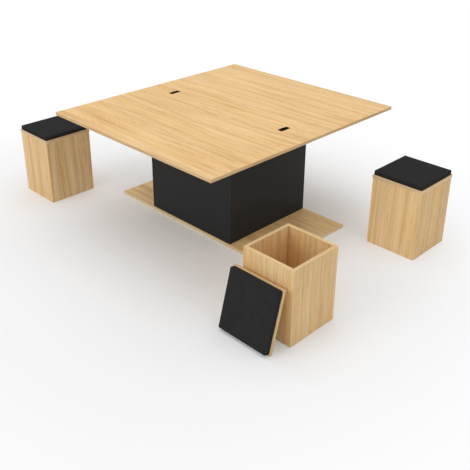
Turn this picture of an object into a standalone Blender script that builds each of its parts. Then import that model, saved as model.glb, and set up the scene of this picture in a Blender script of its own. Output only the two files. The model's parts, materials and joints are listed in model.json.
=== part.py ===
# Lift-top coffee table whose top opens like a book, with three storage poufs.
# Units are metres, +Z is up, X runs along the table. The origin is the centre of
# the base plate's underside. The model is built raised and opened out.

import math

import bmesh
import bpy
from mathutils import Vector


# Running and seating gaps
SEAT_GAP = 0.0003
SIDE_PLAY = 0.001
HOLE_PLAY = 0.0003
CUT_OVERRUN = 0.004

# Table top: two equal leaves that meet at a seam across the table
TOP_LENGTH = 1.200
LEAF_WIDTH = 0.675
LEAF_BOARD = 0.016
TOP_HEIGHT = 0.613
SEAM_GAP = 0.0006
SEAM_OFFSET = 0.0223

# Base plate on the floor and the box that stands on it
PLATE_LENGTH = 1.182
PLATE_WIDTH = 0.600
PLATE_BOARD = 0.016
BOX_LENGTH = 0.622
BOX_WIDTH = 0.588
BOX_BOARD = 0.016
BOX_TOP_HEIGHT = 0.432
CLOSED_GAP = 0.0005

# Edges of every board
BOARD_EDGE_ROUND = 0.0007
BOARD_EDGE_STEPS = 2

# Lift arms: two parallel bars on each side. Raised, the front one clears the front panel
ARM_REACH = 0.350
FRONT_ARM_CLEARANCE = 0.0305
ARM_WIDTH = 0.025
ARM_THICKNESS = 0.005

# Side bracket that carries the lower pivots, the stop and the strut foot
BRACKET_THICKNESS = 0.003
BRACKET_MARGIN = 0.022
STOP_UP_ARM = 0.060
STOP_LENGTH = 0.018
STOP_WIDTH = 0.008

# Top rail: an angle under the carrier leaf
RAIL_THICKNESS = 0.003
RAIL_DEPTH = 0.040
RAIL_FLANGE = 0.028
RAIL_FRONT_REACH = 0.240
RAIL_TAIL = 0.035
RAIL_END_CLEARANCE = 0.013
RAIL_CORNER_RADIUS = 0.014
RAIL_PIVOT_DROP = 0.020

# Pivot pins
PIN_RADIUS = 0.004
PIN_HEAD_RADIUS = 0.007
PIN_HEAD = 0.0025
PIN_TIP = 0.0012

# Tube that ties the two front arms
TUBE_RADIUS = 0.010
TUBE_WALL = 0.0015
TUBE_UP_ARM = 0.200

# Gas struts
STRUT_FOOT_BACK = 0.105
STRUT_FOOT_DROP = 0.105
STRUT_UP_ARM = 0.148
STRUT_RADIUS = 0.008
STRUT_ROD_RADIUS = 0.004
STRUT_FROM_PANEL = 0.027
STRUT_EYE_RADIUS = 0.009
STRUT_EYE_WIDTH = 0.012
STRUT_STUD_RADIUS = 0.004
STRUT_NECK = 0.030
STRUT_SOLID_END = 0.020
STRUT_TIP_CLEARANCE = 0.003
STRUT_CHAMFER = 0.0015

# Flush leaf hinges
HINGE_PLACE = 0.417
HINGE_LENGTH = 0.030
HINGE_REACH = 0.033
HINGE_PLATE = 0.0025
HINGE_CORNER_RADIUS = 0.004
HINGE_AXIS_RISE = 0.0005
HINGE_CENTRE_KNUCKLE = 0.012
KNUCKLE_RADIUS = 0.0022
KNUCKLE_BORE_RADIUS = 0.0013
HINGE_PIN_RADIUS = 0.00095
KNUCKLE_CUTBACK = 0.0003

# Poufs
POUF_X = 0.277
POUF_Y = 0.287
POUF_BODY_HEIGHT = 0.3705
POUF_BOARD = 0.016
POUF_FLOOR_RAISE = 0.010
LEFT_POUF_CENTRE = (-0.9195, -0.5285)
RIGHT_POUF_CENTRE = (0.9105, 0.4105)
OPEN_POUF_CENTRE = (0.9285, -0.5510)

# Pouf lids
LID_OVERHANG = 0.0025
LID_BOARD = 0.016
LOCATING_DEPTH = 0.022
LOCATING_PLAY = 0.0015
PAD_INSET = 0.0015
PAD_THICKNESS = 0.0237
PAD_CORNER_RADIUS = 0.009
PAD_SIDE_DRAW = 0.0015
PAD_CROWN = 0.0022
PAD_EDGE_ROUND = 0.0065
PAD_UNDERCUT = 0.0025

# Lid that leans on the open pouf
LEAN_ANGLE = math.radians(15.0)
LEANING_LID_CENTRE_X = 0.9060

# Facets
ROUND_STEPS = 20
SMALL_ROUND_STEPS = 16
CORNER_STEPS = 5
PAD_SIDE_STEPS = 5
SMOOTH_LIMIT = math.radians(35)

# Shares of the way from the pad's edge to its middle at which its crown has a ring
CROWN_INSET_SHARES = (0.12, 0.34, 0.62, 0.86)

# Finishes: colour, roughness, metallic
OAK = ((0.79, 0.56, 0.33, 1.0), 0.50, 0.0)
ANTHRACITE = ((0.030, 0.030, 0.031, 1.0), 0.55, 0.0)
BLACK_LEATHER = ((0.024, 0.024, 0.026, 1.0), 0.42, 0.0)
BLACK_STEEL = ((0.025, 0.025, 0.027, 1.0), 0.40, 0.8)
ZINC_STEEL = ((0.62, 0.63, 0.65, 1.0), 0.32, 1.0)
CHROME = ((0.80, 0.81, 0.83, 1.0), 0.12, 1.0)

# Places worked out from the sizes above
BOX_INNER_X = BOX_LENGTH / 2 - BOX_BOARD
BOX_INNER_Y = BOX_WIDTH / 2 - BOX_BOARD
LEAF_UNDERSIDE = TOP_HEIGHT - LEAF_BOARD
LIFT_SHIFT = LEAF_WIDTH / 2 + SEAM_GAP / 2 + SEAM_OFFSET
LIFT_DROP = LEAF_UNDERSIDE - BOX_TOP_HEIGHT - CLOSED_GAP
HALF_SWING = math.asin(math.hypot(LIFT_SHIFT, LIFT_DROP) / 2 / ARM_REACH)
MIDDLE_ANGLE = math.pi / 2 - math.atan2(LIFT_DROP, LIFT_SHIFT)
RAISED_ANGLE = MIDDLE_ANGLE + HALF_SWING
CLOSED_ANGLE = MIDDLE_ANGLE - HALF_SWING
SEAM_Y = -SEAM_OFFSET
FOLD_AXIS_HEIGHT = TOP_HEIGHT + HINGE_AXIS_RISE
LID_X = POUF_X + 2 * LID_OVERHANG
LID_Y = POUF_Y + 2 * LID_OVERHANG
PAD_X = LID_X - 2 * PAD_INSET
PAD_Y = LID_Y - 2 * PAD_INSET


def arm_direction(angle):
    """Unit direction of an arm, its angle counted from +Y towards +Z."""
    return Vector((0, math.cos(angle), math.sin(angle)))


REAR_PIVOT = Vector((
    0,
    BOX_INNER_Y - RAIL_END_CLEARANCE - RAIL_TAIL - ARM_REACH * math.cos(CLOSED_ANGLE),
    LEAF_UNDERSIDE - RAIL_PIVOT_DROP - ARM_REACH * math.sin(RAISED_ANGLE),
))
FRONT_PIVOT = Vector((
    0,
    FRONT_ARM_CLEARANCE + ARM_WIDTH / 2 / math.sin(RAISED_ANGLE)
    - (BOX_TOP_HEIGHT - REAR_PIVOT.z) / math.tan(RAISED_ANGLE) - BOX_INNER_Y,
    REAR_PIVOT.z,
))
ARM_SPACING = REAR_PIVOT.y - FRONT_PIVOT.y
FRONT_TOP_PIVOT = FRONT_PIVOT + ARM_REACH * arm_direction(RAISED_ANGLE)
REAR_TOP_PIVOT = REAR_PIVOT + ARM_REACH * arm_direction(RAISED_ANGLE)
STRUT_FOOT = FRONT_PIVOT + Vector((0, STRUT_FOOT_BACK, -STRUT_FOOT_DROP))
STRUT_HEAD = FRONT_PIVOT + STRUT_UP_ARM * arm_direction(RAISED_ANGLE)
STRUT_HEAD_CLOSED = FRONT_PIVOT + STRUT_UP_ARM * arm_direction(CLOSED_ANGLE)
STRUT_RAISED_LENGTH = (STRUT_HEAD - STRUT_FOOT).length
STRUT_CLOSED_LENGTH = (STRUT_HEAD_CLOSED - STRUT_FOOT).length

# Layers of the mechanism, counted from a side panel's inner face towards the middle
BRACKET_OUTER = SEAT_GAP
BRACKET_INNER = BRACKET_OUTER + BRACKET_THICKNESS
ARM_OUTER = BRACKET_INNER + SIDE_PLAY
ARM_INNER = ARM_OUTER + ARM_THICKNESS
RAIL_OUTER = ARM_INNER + SIDE_PLAY
RAIL_INNER = RAIL_OUTER + RAIL_THICKNESS


def clear_scene():
    for item in list(bpy.data.objects):
        bpy.data.objects.remove(item, do_unlink=True)


def give_material(item, finish):
    colour, roughness, metallic = finish
    material = bpy.data.materials.new(item.name + "_finish")
    material.use_nodes = True
    shader = material.node_tree.nodes["Principled BSDF"]
    shader.inputs["Base Color"].default_value = colour
    shader.inputs["Roughness"].default_value = roughness
    shader.inputs["Metallic"].default_value = metallic
    material.diffuse_color = colour
    item.data.materials.append(material)


def add_empty(name, place, parent=None):
    """Adds an axis or body marker at a world place, under another marker."""
    empty = bpy.data.objects.new(name, None)
    bpy.context.collection.objects.link(empty)
    attach(empty, place, parent)
    return empty


def world_place(item):
    place = item.location.copy()
    if item.parent:
        place += world_place(item.parent)
    return place


def attach(item, place, parent):
    """Puts an item at a world place; its parents are all unturned."""
    item.parent = parent
    item.location = Vector(place) - (world_place(parent) if parent else Vector())


def add_mesh(name, mesh_maker, place, parent, finish=None, smooth=False):
    """Turns a bmesh into a named object at a world place."""
    mesh = bpy.data.meshes.new(name)
    bmesh.ops.recalc_face_normals(mesh_maker, faces=mesh_maker.faces)
    mesh_maker.to_mesh(mesh)
    mesh_maker.free()
    item = bpy.data.objects.new(name, mesh)
    bpy.context.collection.objects.link(item)
    attach(item, place, parent)
    if smooth:
        mesh.shade_smooth()
        mesh.set_sharp_from_angle(angle=SMOOTH_LIMIT)
    if finish:
        give_material(item, finish)
    return item


def box_mesh(size):
    """A block centred on its own origin."""
    maker = bmesh.new()
    bmesh.ops.create_cube(maker, size=1)
    bmesh.ops.scale(maker, vec=size, verts=maker.verts)
    return maker


def extruded_mesh(outline, depth, axis):
    """Extrudes a closed outline of 3-D points by depth along +axis."""
    maker = bmesh.new()
    face = maker.faces.new([maker.verts.new(point) for point in outline])
    moved = bmesh.ops.extrude_face_region(maker, geom=[face])["geom"]
    corners = [part for part in moved if isinstance(part, bmesh.types.BMVert)]
    bmesh.ops.translate(maker, vec=Vector(axis) * depth, verts=corners)
    return maker


def rod_mesh(radius, x_start, x_end, steps=SMALL_ROUND_STEPS):
    """A round bar along X between two places."""
    outline = [
        Vector((x_start, radius * math.cos(turn), radius * math.sin(turn)))
        for turn in (2 * math.pi * step / steps for step in range(steps))
    ]
    return extruded_mesh(outline, x_end - x_start, (1, 0, 0))


def turned_mesh(profile, steps=ROUND_STEPS):
    """Spins a closed profile of (radius, height) pairs about the local Z axis."""
    maker = bmesh.new()
    points = [maker.verts.new((radius, 0, height)) for radius, height in profile]
    edges = [maker.edges.new((points[i], points[(i + 1) % len(points)])) for i in range(len(points))]
    on_axis = [edge for edge in edges if all(vert.co.x == 0 for vert in edge.verts)]
    bmesh.ops.delete(maker, geom=on_axis, context="EDGES_FACES")
    bmesh.ops.spin(
        maker, geom=maker.verts[:] + maker.edges[:], cent=(0, 0, 0), axis=(0, 0, 1),
        angle=2 * math.pi, steps=steps, use_merge=False, use_duplicate=False,
    )
    bmesh.ops.remove_doubles(maker, verts=maker.verts, dist=SEAT_GAP / ROUND_STEPS)
    return maker


def rounded_hull(centres, radius):
    """Outline in Y and Z round circles of one radius; centres run anticlockwise."""
    outline = []
    count = len(centres)
    for index, centre in enumerate(centres):
        before = centre - centres[index - 1]
        after = centres[(index + 1) % count] - centre
        start = math.atan2(before.z, before.y) - math.pi / 2
        end = math.atan2(after.z, after.y) - math.pi / 2
        while end < start:
            end += 2 * math.pi
        steps = max(1, round((end - start) / (2 * math.pi) * ROUND_STEPS))
        for step in range(steps + 1):
            turn = start + (end - start) * step / steps
            outline.append(centre + radius * arm_direction(turn))
    return outline


def rounded_rectangle(half_x, half_y, radius, side_steps=1, draw_in=0):
    """Anticlockwise outline in X and Y; draw_in bows each side inwards at its middle."""
    outline = []
    corners = ((1, 1, 0), (-1, 1, 1), (-1, -1, 2), (1, -1, 3))
    for sign_x, sign_y, quarter in corners:
        for step in range(CORNER_STEPS + 1):
            turn = math.pi / 2 * (quarter + step / CORNER_STEPS)
            outline.append(Vector((
                sign_x * (half_x - radius) + radius * math.cos(turn),
                sign_y * (half_y - radius) + radius * math.sin(turn),
                0,
            )))
        start = outline[-1]
        end = start.copy()
        if quarter % 2 == 0:
            end.x = -start.x
        else:
            end.y = -start.y
        inward = Vector((-math.cos(turn), -math.sin(turn), 0))
        for step in range(1, side_steps):
            share = step / side_steps
            bow = draw_in * math.sin(math.pi * share) ** 2
            outline.append(start.lerp(end, share) + inward * bow)
    return outline


def cut_with(target, cutter, operation="DIFFERENCE"):
    modifier = target.modifiers.new(cutter.name, "BOOLEAN")
    modifier.operation = operation
    modifier.solver = "EXACT"
    modifier.object = cutter
    cutter.hide_render = True
    cutter.display_type = "WIRE"


def round_edges(item, width, steps=BOARD_EDGE_STEPS):
    modifier = item.modifiers.new("edges", "BEVEL")
    modifier.width = width
    modifier.segments = steps
    modifier.limit_method = "ANGLE"


def add_board(name, low, high, parent, finish):
    """A board between two world corners, with lightly broken edges."""
    low, high = Vector(low), Vector(high)
    board = add_mesh(name, box_mesh(high - low), (low + high) / 2, parent, finish)
    round_edges(board, BOARD_EDGE_ROUND)
    return board


# Base plate and box
def build_base(root):
    add_board(
        "base_plate",
        (-PLATE_LENGTH / 2, -PLATE_WIDTH / 2, 0),
        (PLATE_LENGTH / 2, PLATE_WIDTH / 2, PLATE_BOARD),
        root, OAK,
    )
    foot = PLATE_BOARD + SEAT_GAP
    for name, side in (("box_front_panel", -1), ("box_rear_panel", 1)):
        near, far = sorted((side * BOX_INNER_Y, side * BOX_WIDTH / 2))
        add_board(name, (-BOX_LENGTH / 2, near, foot), (BOX_LENGTH / 2, far, BOX_TOP_HEIGHT), root, ANTHRACITE)
    end_y = BOX_INNER_Y - SEAT_GAP
    for name, side in (("box_left_panel", -1), ("box_right_panel", 1)):
        near, far = sorted((side * BOX_INNER_X, side * BOX_LENGTH / 2))
        add_board(name, (near, -end_y, foot), (far, end_y, BOX_TOP_HEIGHT), root, ANTHRACITE)


# Lift mechanism
def layer_range(side, outer, inner):
    """World X range of a layer counted inwards from the side panel's inner face."""
    return sorted((side * (BOX_INNER_X - outer), side * (BOX_INNER_X - inner)))


def add_plate(name, outline, side, outer, inner, place, parent):
    """A flat steel plate in the Y-Z plane; its outline is drawn about its own origin."""
    x_low, x_high = layer_range(side, outer, inner)
    points = [point + Vector((x_low, 0, 0)) for point in outline]
    return add_mesh(name, extruded_mesh(points, x_high - x_low, (1, 0, 0)), place, parent, BLACK_STEEL, smooth=True)


def add_pivot_hole(name, side, place, parent):
    """Cutter along X through every mechanism layer of one side."""
    x_low, x_high = layer_range(side, BRACKET_OUTER - CUT_OVERRUN, RAIL_INNER + CUT_OVERRUN)
    return add_mesh(name, rod_mesh(PIN_RADIUS + HOLE_PLAY, x_low, x_high), place, parent)


def add_pivot_pin(name, side, head_end, head_start, tip, place, parent):
    """A headed pin along X; its ends are counted from the side panel's inner face."""
    head = add_mesh(
        name + "_head", rod_mesh(PIN_HEAD_RADIUS, *layer_range(side, head_end, head_start), ROUND_STEPS), place, parent)
    pin = add_mesh(
        name, rod_mesh(PIN_RADIUS, *layer_range(side, (head_end + head_start) / 2, tip)), place, parent,
        ZINC_STEEL, smooth=True)
    cut_with(pin, head, "UNION")
    return pin


def add_stud(name, side, start, end, place, parent):
    """A round stud to be joined to a plate of the mechanism."""
    return add_mesh(name, rod_mesh(STRUT_STUD_RADIUS, *layer_range(side, start, end)), place, parent)


def build_bracket(side, word, root):
    """Side bracket with its stop tab and the strut's foot stud."""
    along = arm_direction(RAISED_ANGLE)
    across = arm_direction(RAISED_ANGLE + math.pi / 2)
    stop = along * STOP_UP_ARM + across * (ARM_WIDTH / 2 + SEAT_GAP + STOP_WIDTH / 2)
    centres = [Vector((0, ARM_SPACING, 0)), stop, Vector((0, 0, 0)), STRUT_FOOT - FRONT_PIVOT]
    bracket = add_plate(
        "lift_bracket_" + word, rounded_hull(centres, BRACKET_MARGIN), side, BRACKET_OUTER, BRACKET_INNER,
        FRONT_PIVOT, root)
    tab_low, tab_high = layer_range(side, (BRACKET_OUTER + BRACKET_INNER) / 2, ARM_INNER)
    tab = add_mesh(
        "stop_tab_" + word, box_mesh((tab_high - tab_low, STOP_LENGTH, STOP_WIDTH)),
        FRONT_PIVOT + stop + Vector(((tab_low + tab_high) / 2, 0, 0)), root)
    tab.rotation_euler.x = RAISED_ANGLE
    cut_with(bracket, tab, "UNION")
    stud = add_stud(
        "strut_foot_stud_" + word, side, (BRACKET_OUTER + BRACKET_INNER) / 2,
        STRUT_FROM_PANEL + STRUT_EYE_WIDTH / 2, STRUT_FOOT, root)
    cut_with(bracket, stud, "UNION")
    return bracket


def build_arm(name, side, pivot, parent):
    """A flat bar between its lower and upper pivot, turned to the raised angle."""
    ends = [Vector((0, 0, 0)), Vector((0, ARM_REACH, 0))]
    arm = add_plate(name, rounded_hull(ends, ARM_WIDTH / 2), side, ARM_OUTER, ARM_INNER, pivot, parent)
    arm.rotation_euler.x = RAISED_ANGLE
    return arm


def build_rail(side, word, parent):
    """Angle rail: the upright flange takes the arms, the flat one carries the leaf."""
    top = LEAF_UNDERSIDE - SEAT_GAP - FRONT_TOP_PIVOT.z
    front, back = -RAIL_FRONT_REACH, ARM_SPACING + RAIL_TAIL
    upright = side * (BOX_INNER_X - RAIL_OUTER)
    inner = side * (BOX_INNER_X - RAIL_INNER)
    edge = side * (BOX_INNER_X - RAIL_OUTER - RAIL_FLANGE)
    section = [
        Vector((upright, front, top)),
        Vector((upright, front, top - RAIL_DEPTH)),
        Vector((inner, front, top - RAIL_DEPTH)),
        Vector((inner, front, top - RAIL_THICKNESS)),
        Vector((edge, front, top - RAIL_THICKNESS)),
        Vector((edge, front, top)),
    ]
    maker = extruded_mesh(section, back - front, (0, 1, 0))
    low_ends = [
        line for line in maker.edges
        if all(abs(vert.co.z - top + RAIL_DEPTH) < SEAT_GAP for vert in line.verts)
        and abs(line.verts[0].co.y - line.verts[1].co.y) < SEAT_GAP
    ]
    bmesh.ops.bevel(
        maker, geom=low_ends, offset=RAIL_CORNER_RADIUS, segments=CORNER_STEPS, affect="EDGES", profile=0.5)
    return add_mesh("top_rail_" + word, maker, FRONT_TOP_PIVOT, parent, BLACK_STEEL)


def build_strut(side, word, cylinder_parent, rod_parent):
    """Gas strut from the bracket's stud to the stud on the front arm."""
    x_place = Vector((side * (BOX_INNER_X - STRUT_FROM_PANEL), 0, 0))
    line = STRUT_HEAD - STRUT_FOOT
    tilt = -math.atan2(line.y, line.z)
    mouth = STRUT_CLOSED_LENGTH - STRUT_NECK
    bore = STRUT_ROD_RADIUS + HOLE_PLAY
    cylinder = add_mesh(
        "strut_cylinder_" + word,
        turned_mesh([
            (0, STRUT_EYE_RADIUS / 2),
            (STRUT_RADIUS - STRUT_CHAMFER, STRUT_EYE_RADIUS / 2),
            (STRUT_RADIUS, STRUT_EYE_RADIUS / 2 + STRUT_CHAMFER),
            (STRUT_RADIUS, mouth - STRUT_CHAMFER),
            (STRUT_RADIUS - STRUT_CHAMFER, mouth),
            (bore, mouth),
            (bore, STRUT_SOLID_END),
            (0, STRUT_SOLID_END),
        ]),
        STRUT_FOOT + x_place, cylinder_parent, BLACK_STEEL, smooth=True)
    half_eye = STRUT_EYE_WIDTH / 2
    foot_eye = add_mesh(
        "strut_foot_eye_" + word, rod_mesh(STRUT_EYE_RADIUS, -half_eye, half_eye, ROUND_STEPS),
        STRUT_FOOT + x_place, cylinder_parent)
    foot_hole = add_mesh(
        "strut_foot_hole_" + word,
        rod_mesh(STRUT_STUD_RADIUS + HOLE_PLAY, -half_eye - CUT_OVERRUN, half_eye + CUT_OVERRUN),
        STRUT_FOOT + x_place, cylinder_parent)
    cut_with(cylinder, foot_eye, "UNION")
    cut_with(cylinder, foot_hole)
    tip = STRUT_CLOSED_LENGTH - STRUT_SOLID_END - STRUT_TIP_CLEARANCE
    rod = add_mesh(
        "strut_rod_" + word,
        turned_mesh([(0, -tip), (STRUT_ROD_RADIUS, -tip), (STRUT_ROD_RADIUS, 0), (0, 0)], SMALL_ROUND_STEPS),
        STRUT_HEAD + x_place, rod_parent, CHROME, smooth=True)
    head_eye = add_mesh(
        "strut_head_eye_" + word, rod_mesh(STRUT_EYE_RADIUS, -half_eye, half_eye, ROUND_STEPS),
        STRUT_HEAD + x_place, rod_parent)
    cut_with(rod, head_eye, "UNION")
    for item in (cylinder, rod):
        item.rotation_euler.x = tilt


def build_mechanism(root, front_axis, rear_axis, carrier, strut_axis, rod_axis):
    arm_middle = (ARM_OUTER + ARM_INNER) / 2
    for word, side in (("left", -1), ("right", 1)):
        bracket = build_bracket(side, word, root)
        front_arm = build_arm("front_arm_" + word, side, FRONT_PIVOT, front_axis)
        rear_arm = build_arm("rear_arm_" + word, side, REAR_PIVOT, rear_axis)
        rail = build_rail(side, word, carrier)
        stud = add_stud(
            "strut_head_stud_" + word, side, arm_middle,
            STRUT_FROM_PANEL - STRUT_EYE_WIDTH / 2 - SEAT_GAP, STRUT_HEAD, front_axis)
        cut_with(front_arm, stud, "UNION")
        for place_word, place, arm, carrier_plate in (
            ("front_lower", FRONT_PIVOT, front_arm, bracket),
            ("rear_lower", REAR_PIVOT, rear_arm, bracket),
            ("front_upper", FRONT_TOP_PIVOT, front_arm, rail),
            ("rear_upper", REAR_TOP_PIVOT, rear_arm, rail),
        ):
            hole = add_pivot_hole("hole_" + place_word + "_" + word, side, place, root)
            cut_with(arm, hole)
            cut_with(carrier_plate, hole)
            if carrier_plate is bracket:
                pin_parent = root
                head_start = ARM_INNER + SEAT_GAP
                head_end = head_start + PIN_HEAD
                tip = BRACKET_OUTER
            else:
                pin_parent = carrier
                head_start = ARM_OUTER - SEAT_GAP
                head_end = head_start - PIN_HEAD
                tip = RAIL_INNER + PIN_TIP
            add_pivot_pin("pivot_pin_" + place_word + "_" + word, side, head_end, head_start, tip, place, pin_parent)
        build_strut(side, word, strut_axis, rod_axis)
    tube_end = BOX_INNER_X - ARM_INNER - SEAT_GAP
    tube_place = FRONT_PIVOT + TUBE_UP_ARM * arm_direction(RAISED_ANGLE)
    tube = add_mesh(
        "cross_tube",
        turned_mesh([
            (TUBE_RADIUS - TUBE_WALL, -tube_end),
            (TUBE_RADIUS, -tube_end),
            (TUBE_RADIUS, tube_end),
            (TUBE_RADIUS - TUBE_WALL, tube_end),
        ]),
        tube_place, front_axis, BLACK_STEEL, smooth=True)
    tube.rotation_euler.y = math.pi / 2


# Table top
def build_hinge_half(name, side, knuckles, hinge_x, parent):
    """A recessed plate on one side of the seam, with its knuckles on the fold axis."""
    top = -HINGE_AXIS_RISE
    near = KNUCKLE_RADIUS + KNUCKLE_CUTBACK
    half_length = HINGE_LENGTH / 2
    middle_y = side * (near + HINGE_REACH) / 2
    outline = rounded_rectangle(half_length, (HINGE_REACH - near) / 2, HINGE_CORNER_RADIUS)
    points = [point + Vector((0, middle_y, top - HINGE_PLATE)) for point in outline]
    place = Vector((hinge_x, SEAM_Y, FOLD_AXIS_HEIGHT))
    plate = add_mesh(name, extruded_mesh(points, HINGE_PLATE, (0, 0, 1)), place, parent, BLACK_STEEL, smooth=True)
    for index, (x_start, x_end) in enumerate(knuckles):
        label = name + "_knuckle_" + str(index)
        bridge_reach = near + HINGE_CORNER_RADIUS
        bridge = add_mesh(
            label + "_bridge", box_mesh((x_end - x_start, bridge_reach, HINGE_PLATE - SEAT_GAP)),
            place + Vector(((x_start + x_end) / 2, side * bridge_reach / 2, top - HINGE_PLATE / 2)), parent)
        ring = add_mesh(label + "_ring", rod_mesh(KNUCKLE_RADIUS, x_start, x_end), place, parent)
        cut_with(plate, bridge, "UNION")
        cut_with(plate, ring, "UNION")
    return plate


def build_leaf_hinge(word, hinge_x, carrier, fold_axis):
    half_length = HINGE_LENGTH / 2
    half_centre = HINGE_CENTRE_KNUCKLE / 2
    outer_knuckles = (
        (-half_length, -half_centre - KNUCKLE_CUTBACK),
        (half_centre + KNUCKLE_CUTBACK, half_length),
    )
    fixed = build_hinge_half("leaf_hinge_" + word + "_fixed_plate", -1, outer_knuckles, hinge_x, carrier)
    moving = build_hinge_half(
        "leaf_hinge_" + word + "_moving_plate", 1, ((-half_centre, half_centre),), hinge_x, fold_axis)
    place = Vector((hinge_x, SEAM_Y, FOLD_AXIS_HEIGHT))
    bore = add_mesh(
        "leaf_hinge_" + word + "_bore",
        rod_mesh(KNUCKLE_BORE_RADIUS, -half_length - CUT_OVERRUN, half_length + CUT_OVERRUN), place, carrier)
    cut_with(fixed, bore)
    cut_with(moving, bore)
    add_mesh(
        "leaf_hinge_" + word + "_pin", rod_mesh(HINGE_PIN_RADIUS, -half_length, half_length), place, carrier,
        ZINC_STEEL, smooth=True)


def build_top(carrier, fold_axis):
    half_length = TOP_LENGTH / 2
    leaves = []
    for name, side, parent in (("carrier_leaf", -1, carrier), ("folding_leaf", 1, fold_axis)):
        near, far = sorted((SEAM_Y + side * SEAM_GAP / 2, SEAM_Y + side * (SEAM_GAP / 2 + LEAF_WIDTH)))
        leaves.append(add_board(
            name, (-half_length, near, LEAF_UNDERSIDE), (half_length, far, TOP_HEIGHT), parent, OAK))
    pocket_depth = HINGE_PLATE + SEAT_GAP
    pocket_height = pocket_depth + CUT_OVERRUN
    for word, side in (("left", -1), ("right", 1)):
        hinge_x = side * HINGE_PLACE
        outline = rounded_rectangle(
            HINGE_LENGTH / 2 + SEAT_GAP, HINGE_REACH + SEAT_GAP, HINGE_CORNER_RADIUS + SEAT_GAP)
        pocket = add_mesh(
            "hinge_pocket_" + word, extruded_mesh(outline, pocket_height, (0, 0, 1)),
            (hinge_x, SEAM_Y, TOP_HEIGHT - pocket_depth), carrier)
        for leaf in leaves:
            cut_with(leaf, pocket)
        build_leaf_hinge(word, hinge_x, carrier, fold_axis)


# Poufs
def pad_rings():
    """Inset and height of each ring of the pad, from its underside to its crown."""
    half_narrow = min(PAD_X, PAD_Y) / 2
    shoulder = PAD_THICKNESS - PAD_CROWN
    rings = [
        (PAD_UNDERCUT, 0),
        (0, PAD_UNDERCUT),
        (0, shoulder - PAD_EDGE_ROUND),
    ]
    for step in range(1, CORNER_STEPS):
        turn = math.pi / 2 * step / CORNER_STEPS
        rings.append((
            PAD_EDGE_ROUND * (1 - math.cos(turn)),
            shoulder - PAD_EDGE_ROUND * (1 - math.sin(turn)),
        ))
    for share in CROWN_INSET_SHARES:
        inset = PAD_EDGE_ROUND + (half_narrow - PAD_EDGE_ROUND) * share
        rings.append((inset, shoulder + PAD_CROWN * math.sin(math.pi / 2 * share)))
    return rings


def pad_mesh():
    """A crowned pad whose sides draw in a little between its corners."""
    maker = bmesh.new()
    loops = []
    for inset, height in pad_rings():
        radius = max(PAD_CORNER_RADIUS - inset, PAD_EDGE_ROUND)
        fade = max(0, 1 - inset / PAD_CORNER_RADIUS)
        outline = rounded_rectangle(
            PAD_X / 2 - inset, PAD_Y / 2 - inset, radius, PAD_SIDE_STEPS, PAD_SIDE_DRAW * fade)
        loops.append([maker.verts.new(point + Vector((0, 0, height))) for point in outline])
    for lower, upper in zip(loops, loops[1:]):
        for index in range(len(lower)):
            after = (index + 1) % len(lower)
            maker.faces.new((lower[index], lower[after], upper[after], upper[index]))
    maker.faces.new(list(reversed(loops[0])))
    maker.faces.new(loops[-1])
    return maker


def build_lid(prefix, lid_axis, turn):
    """Lid board, locating board and pad, drawn from the board's lower front edge."""
    locating_inset = LID_OVERHANG + POUF_BOARD + LOCATING_PLAY
    middle_y = LID_Y / 2
    board = add_mesh(prefix + "_lid_board", box_mesh((LID_X, LID_Y, LID_BOARD)), (0, 0, 0), None, OAK)
    board.location = (0, middle_y, LID_BOARD / 2)
    locating = add_mesh(
        prefix + "_lid_locating_board",
        box_mesh((LID_X - 2 * locating_inset, LID_Y - 2 * locating_inset, LOCATING_DEPTH)), (0, 0, 0), None, OAK)
    locating.location = (0, middle_y, -SEAT_GAP - LOCATING_DEPTH / 2)
    pad = add_mesh(prefix + "_lid_pad", pad_mesh(), (0, 0, 0), None, BLACK_LEATHER, smooth=True)
    pad.location = (0, middle_y, LID_BOARD + SEAT_GAP)
    for item in (board, locating):
        round_edges(item, BOARD_EDGE_ROUND)
    lid_axis.rotation_euler.x = turn
    for item in (board, locating, pad):
        item.parent = lid_axis


def build_pouf_body(prefix, centre, body):
    centre_x, centre_y = centre
    half_x, half_y = POUF_X / 2, POUF_Y / 2
    inner_x, inner_y = half_x - POUF_BOARD, half_y - POUF_BOARD
    for word, side in (("front", -1), ("rear", 1)):
        near, far = sorted((centre_y + side * inner_y, centre_y + side * half_y))
        add_board(
            prefix + "_" + word + "_panel", (centre_x - half_x, near, 0), (centre_x + half_x, far, POUF_BODY_HEIGHT),
            body, OAK)
    end_y = inner_y - SEAT_GAP
    for word, side in (("left", -1), ("right", 1)):
        near, far = sorted((centre_x + side * inner_x, centre_x + side * half_x))
        add_board(
            prefix + "_" + word + "_panel", (near, centre_y - end_y, 0), (far, centre_y + end_y, POUF_BODY_HEIGHT),
            body, OAK)
    end_x = inner_x - SEAT_GAP
    add_board(
        prefix + "_floor_panel",
        (centre_x - end_x, centre_y - end_y, POUF_FLOOR_RAISE),
        (centre_x + end_x, centre_y + end_y, POUF_FLOOR_RAISE + POUF_BOARD),
        body, OAK)


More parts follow.
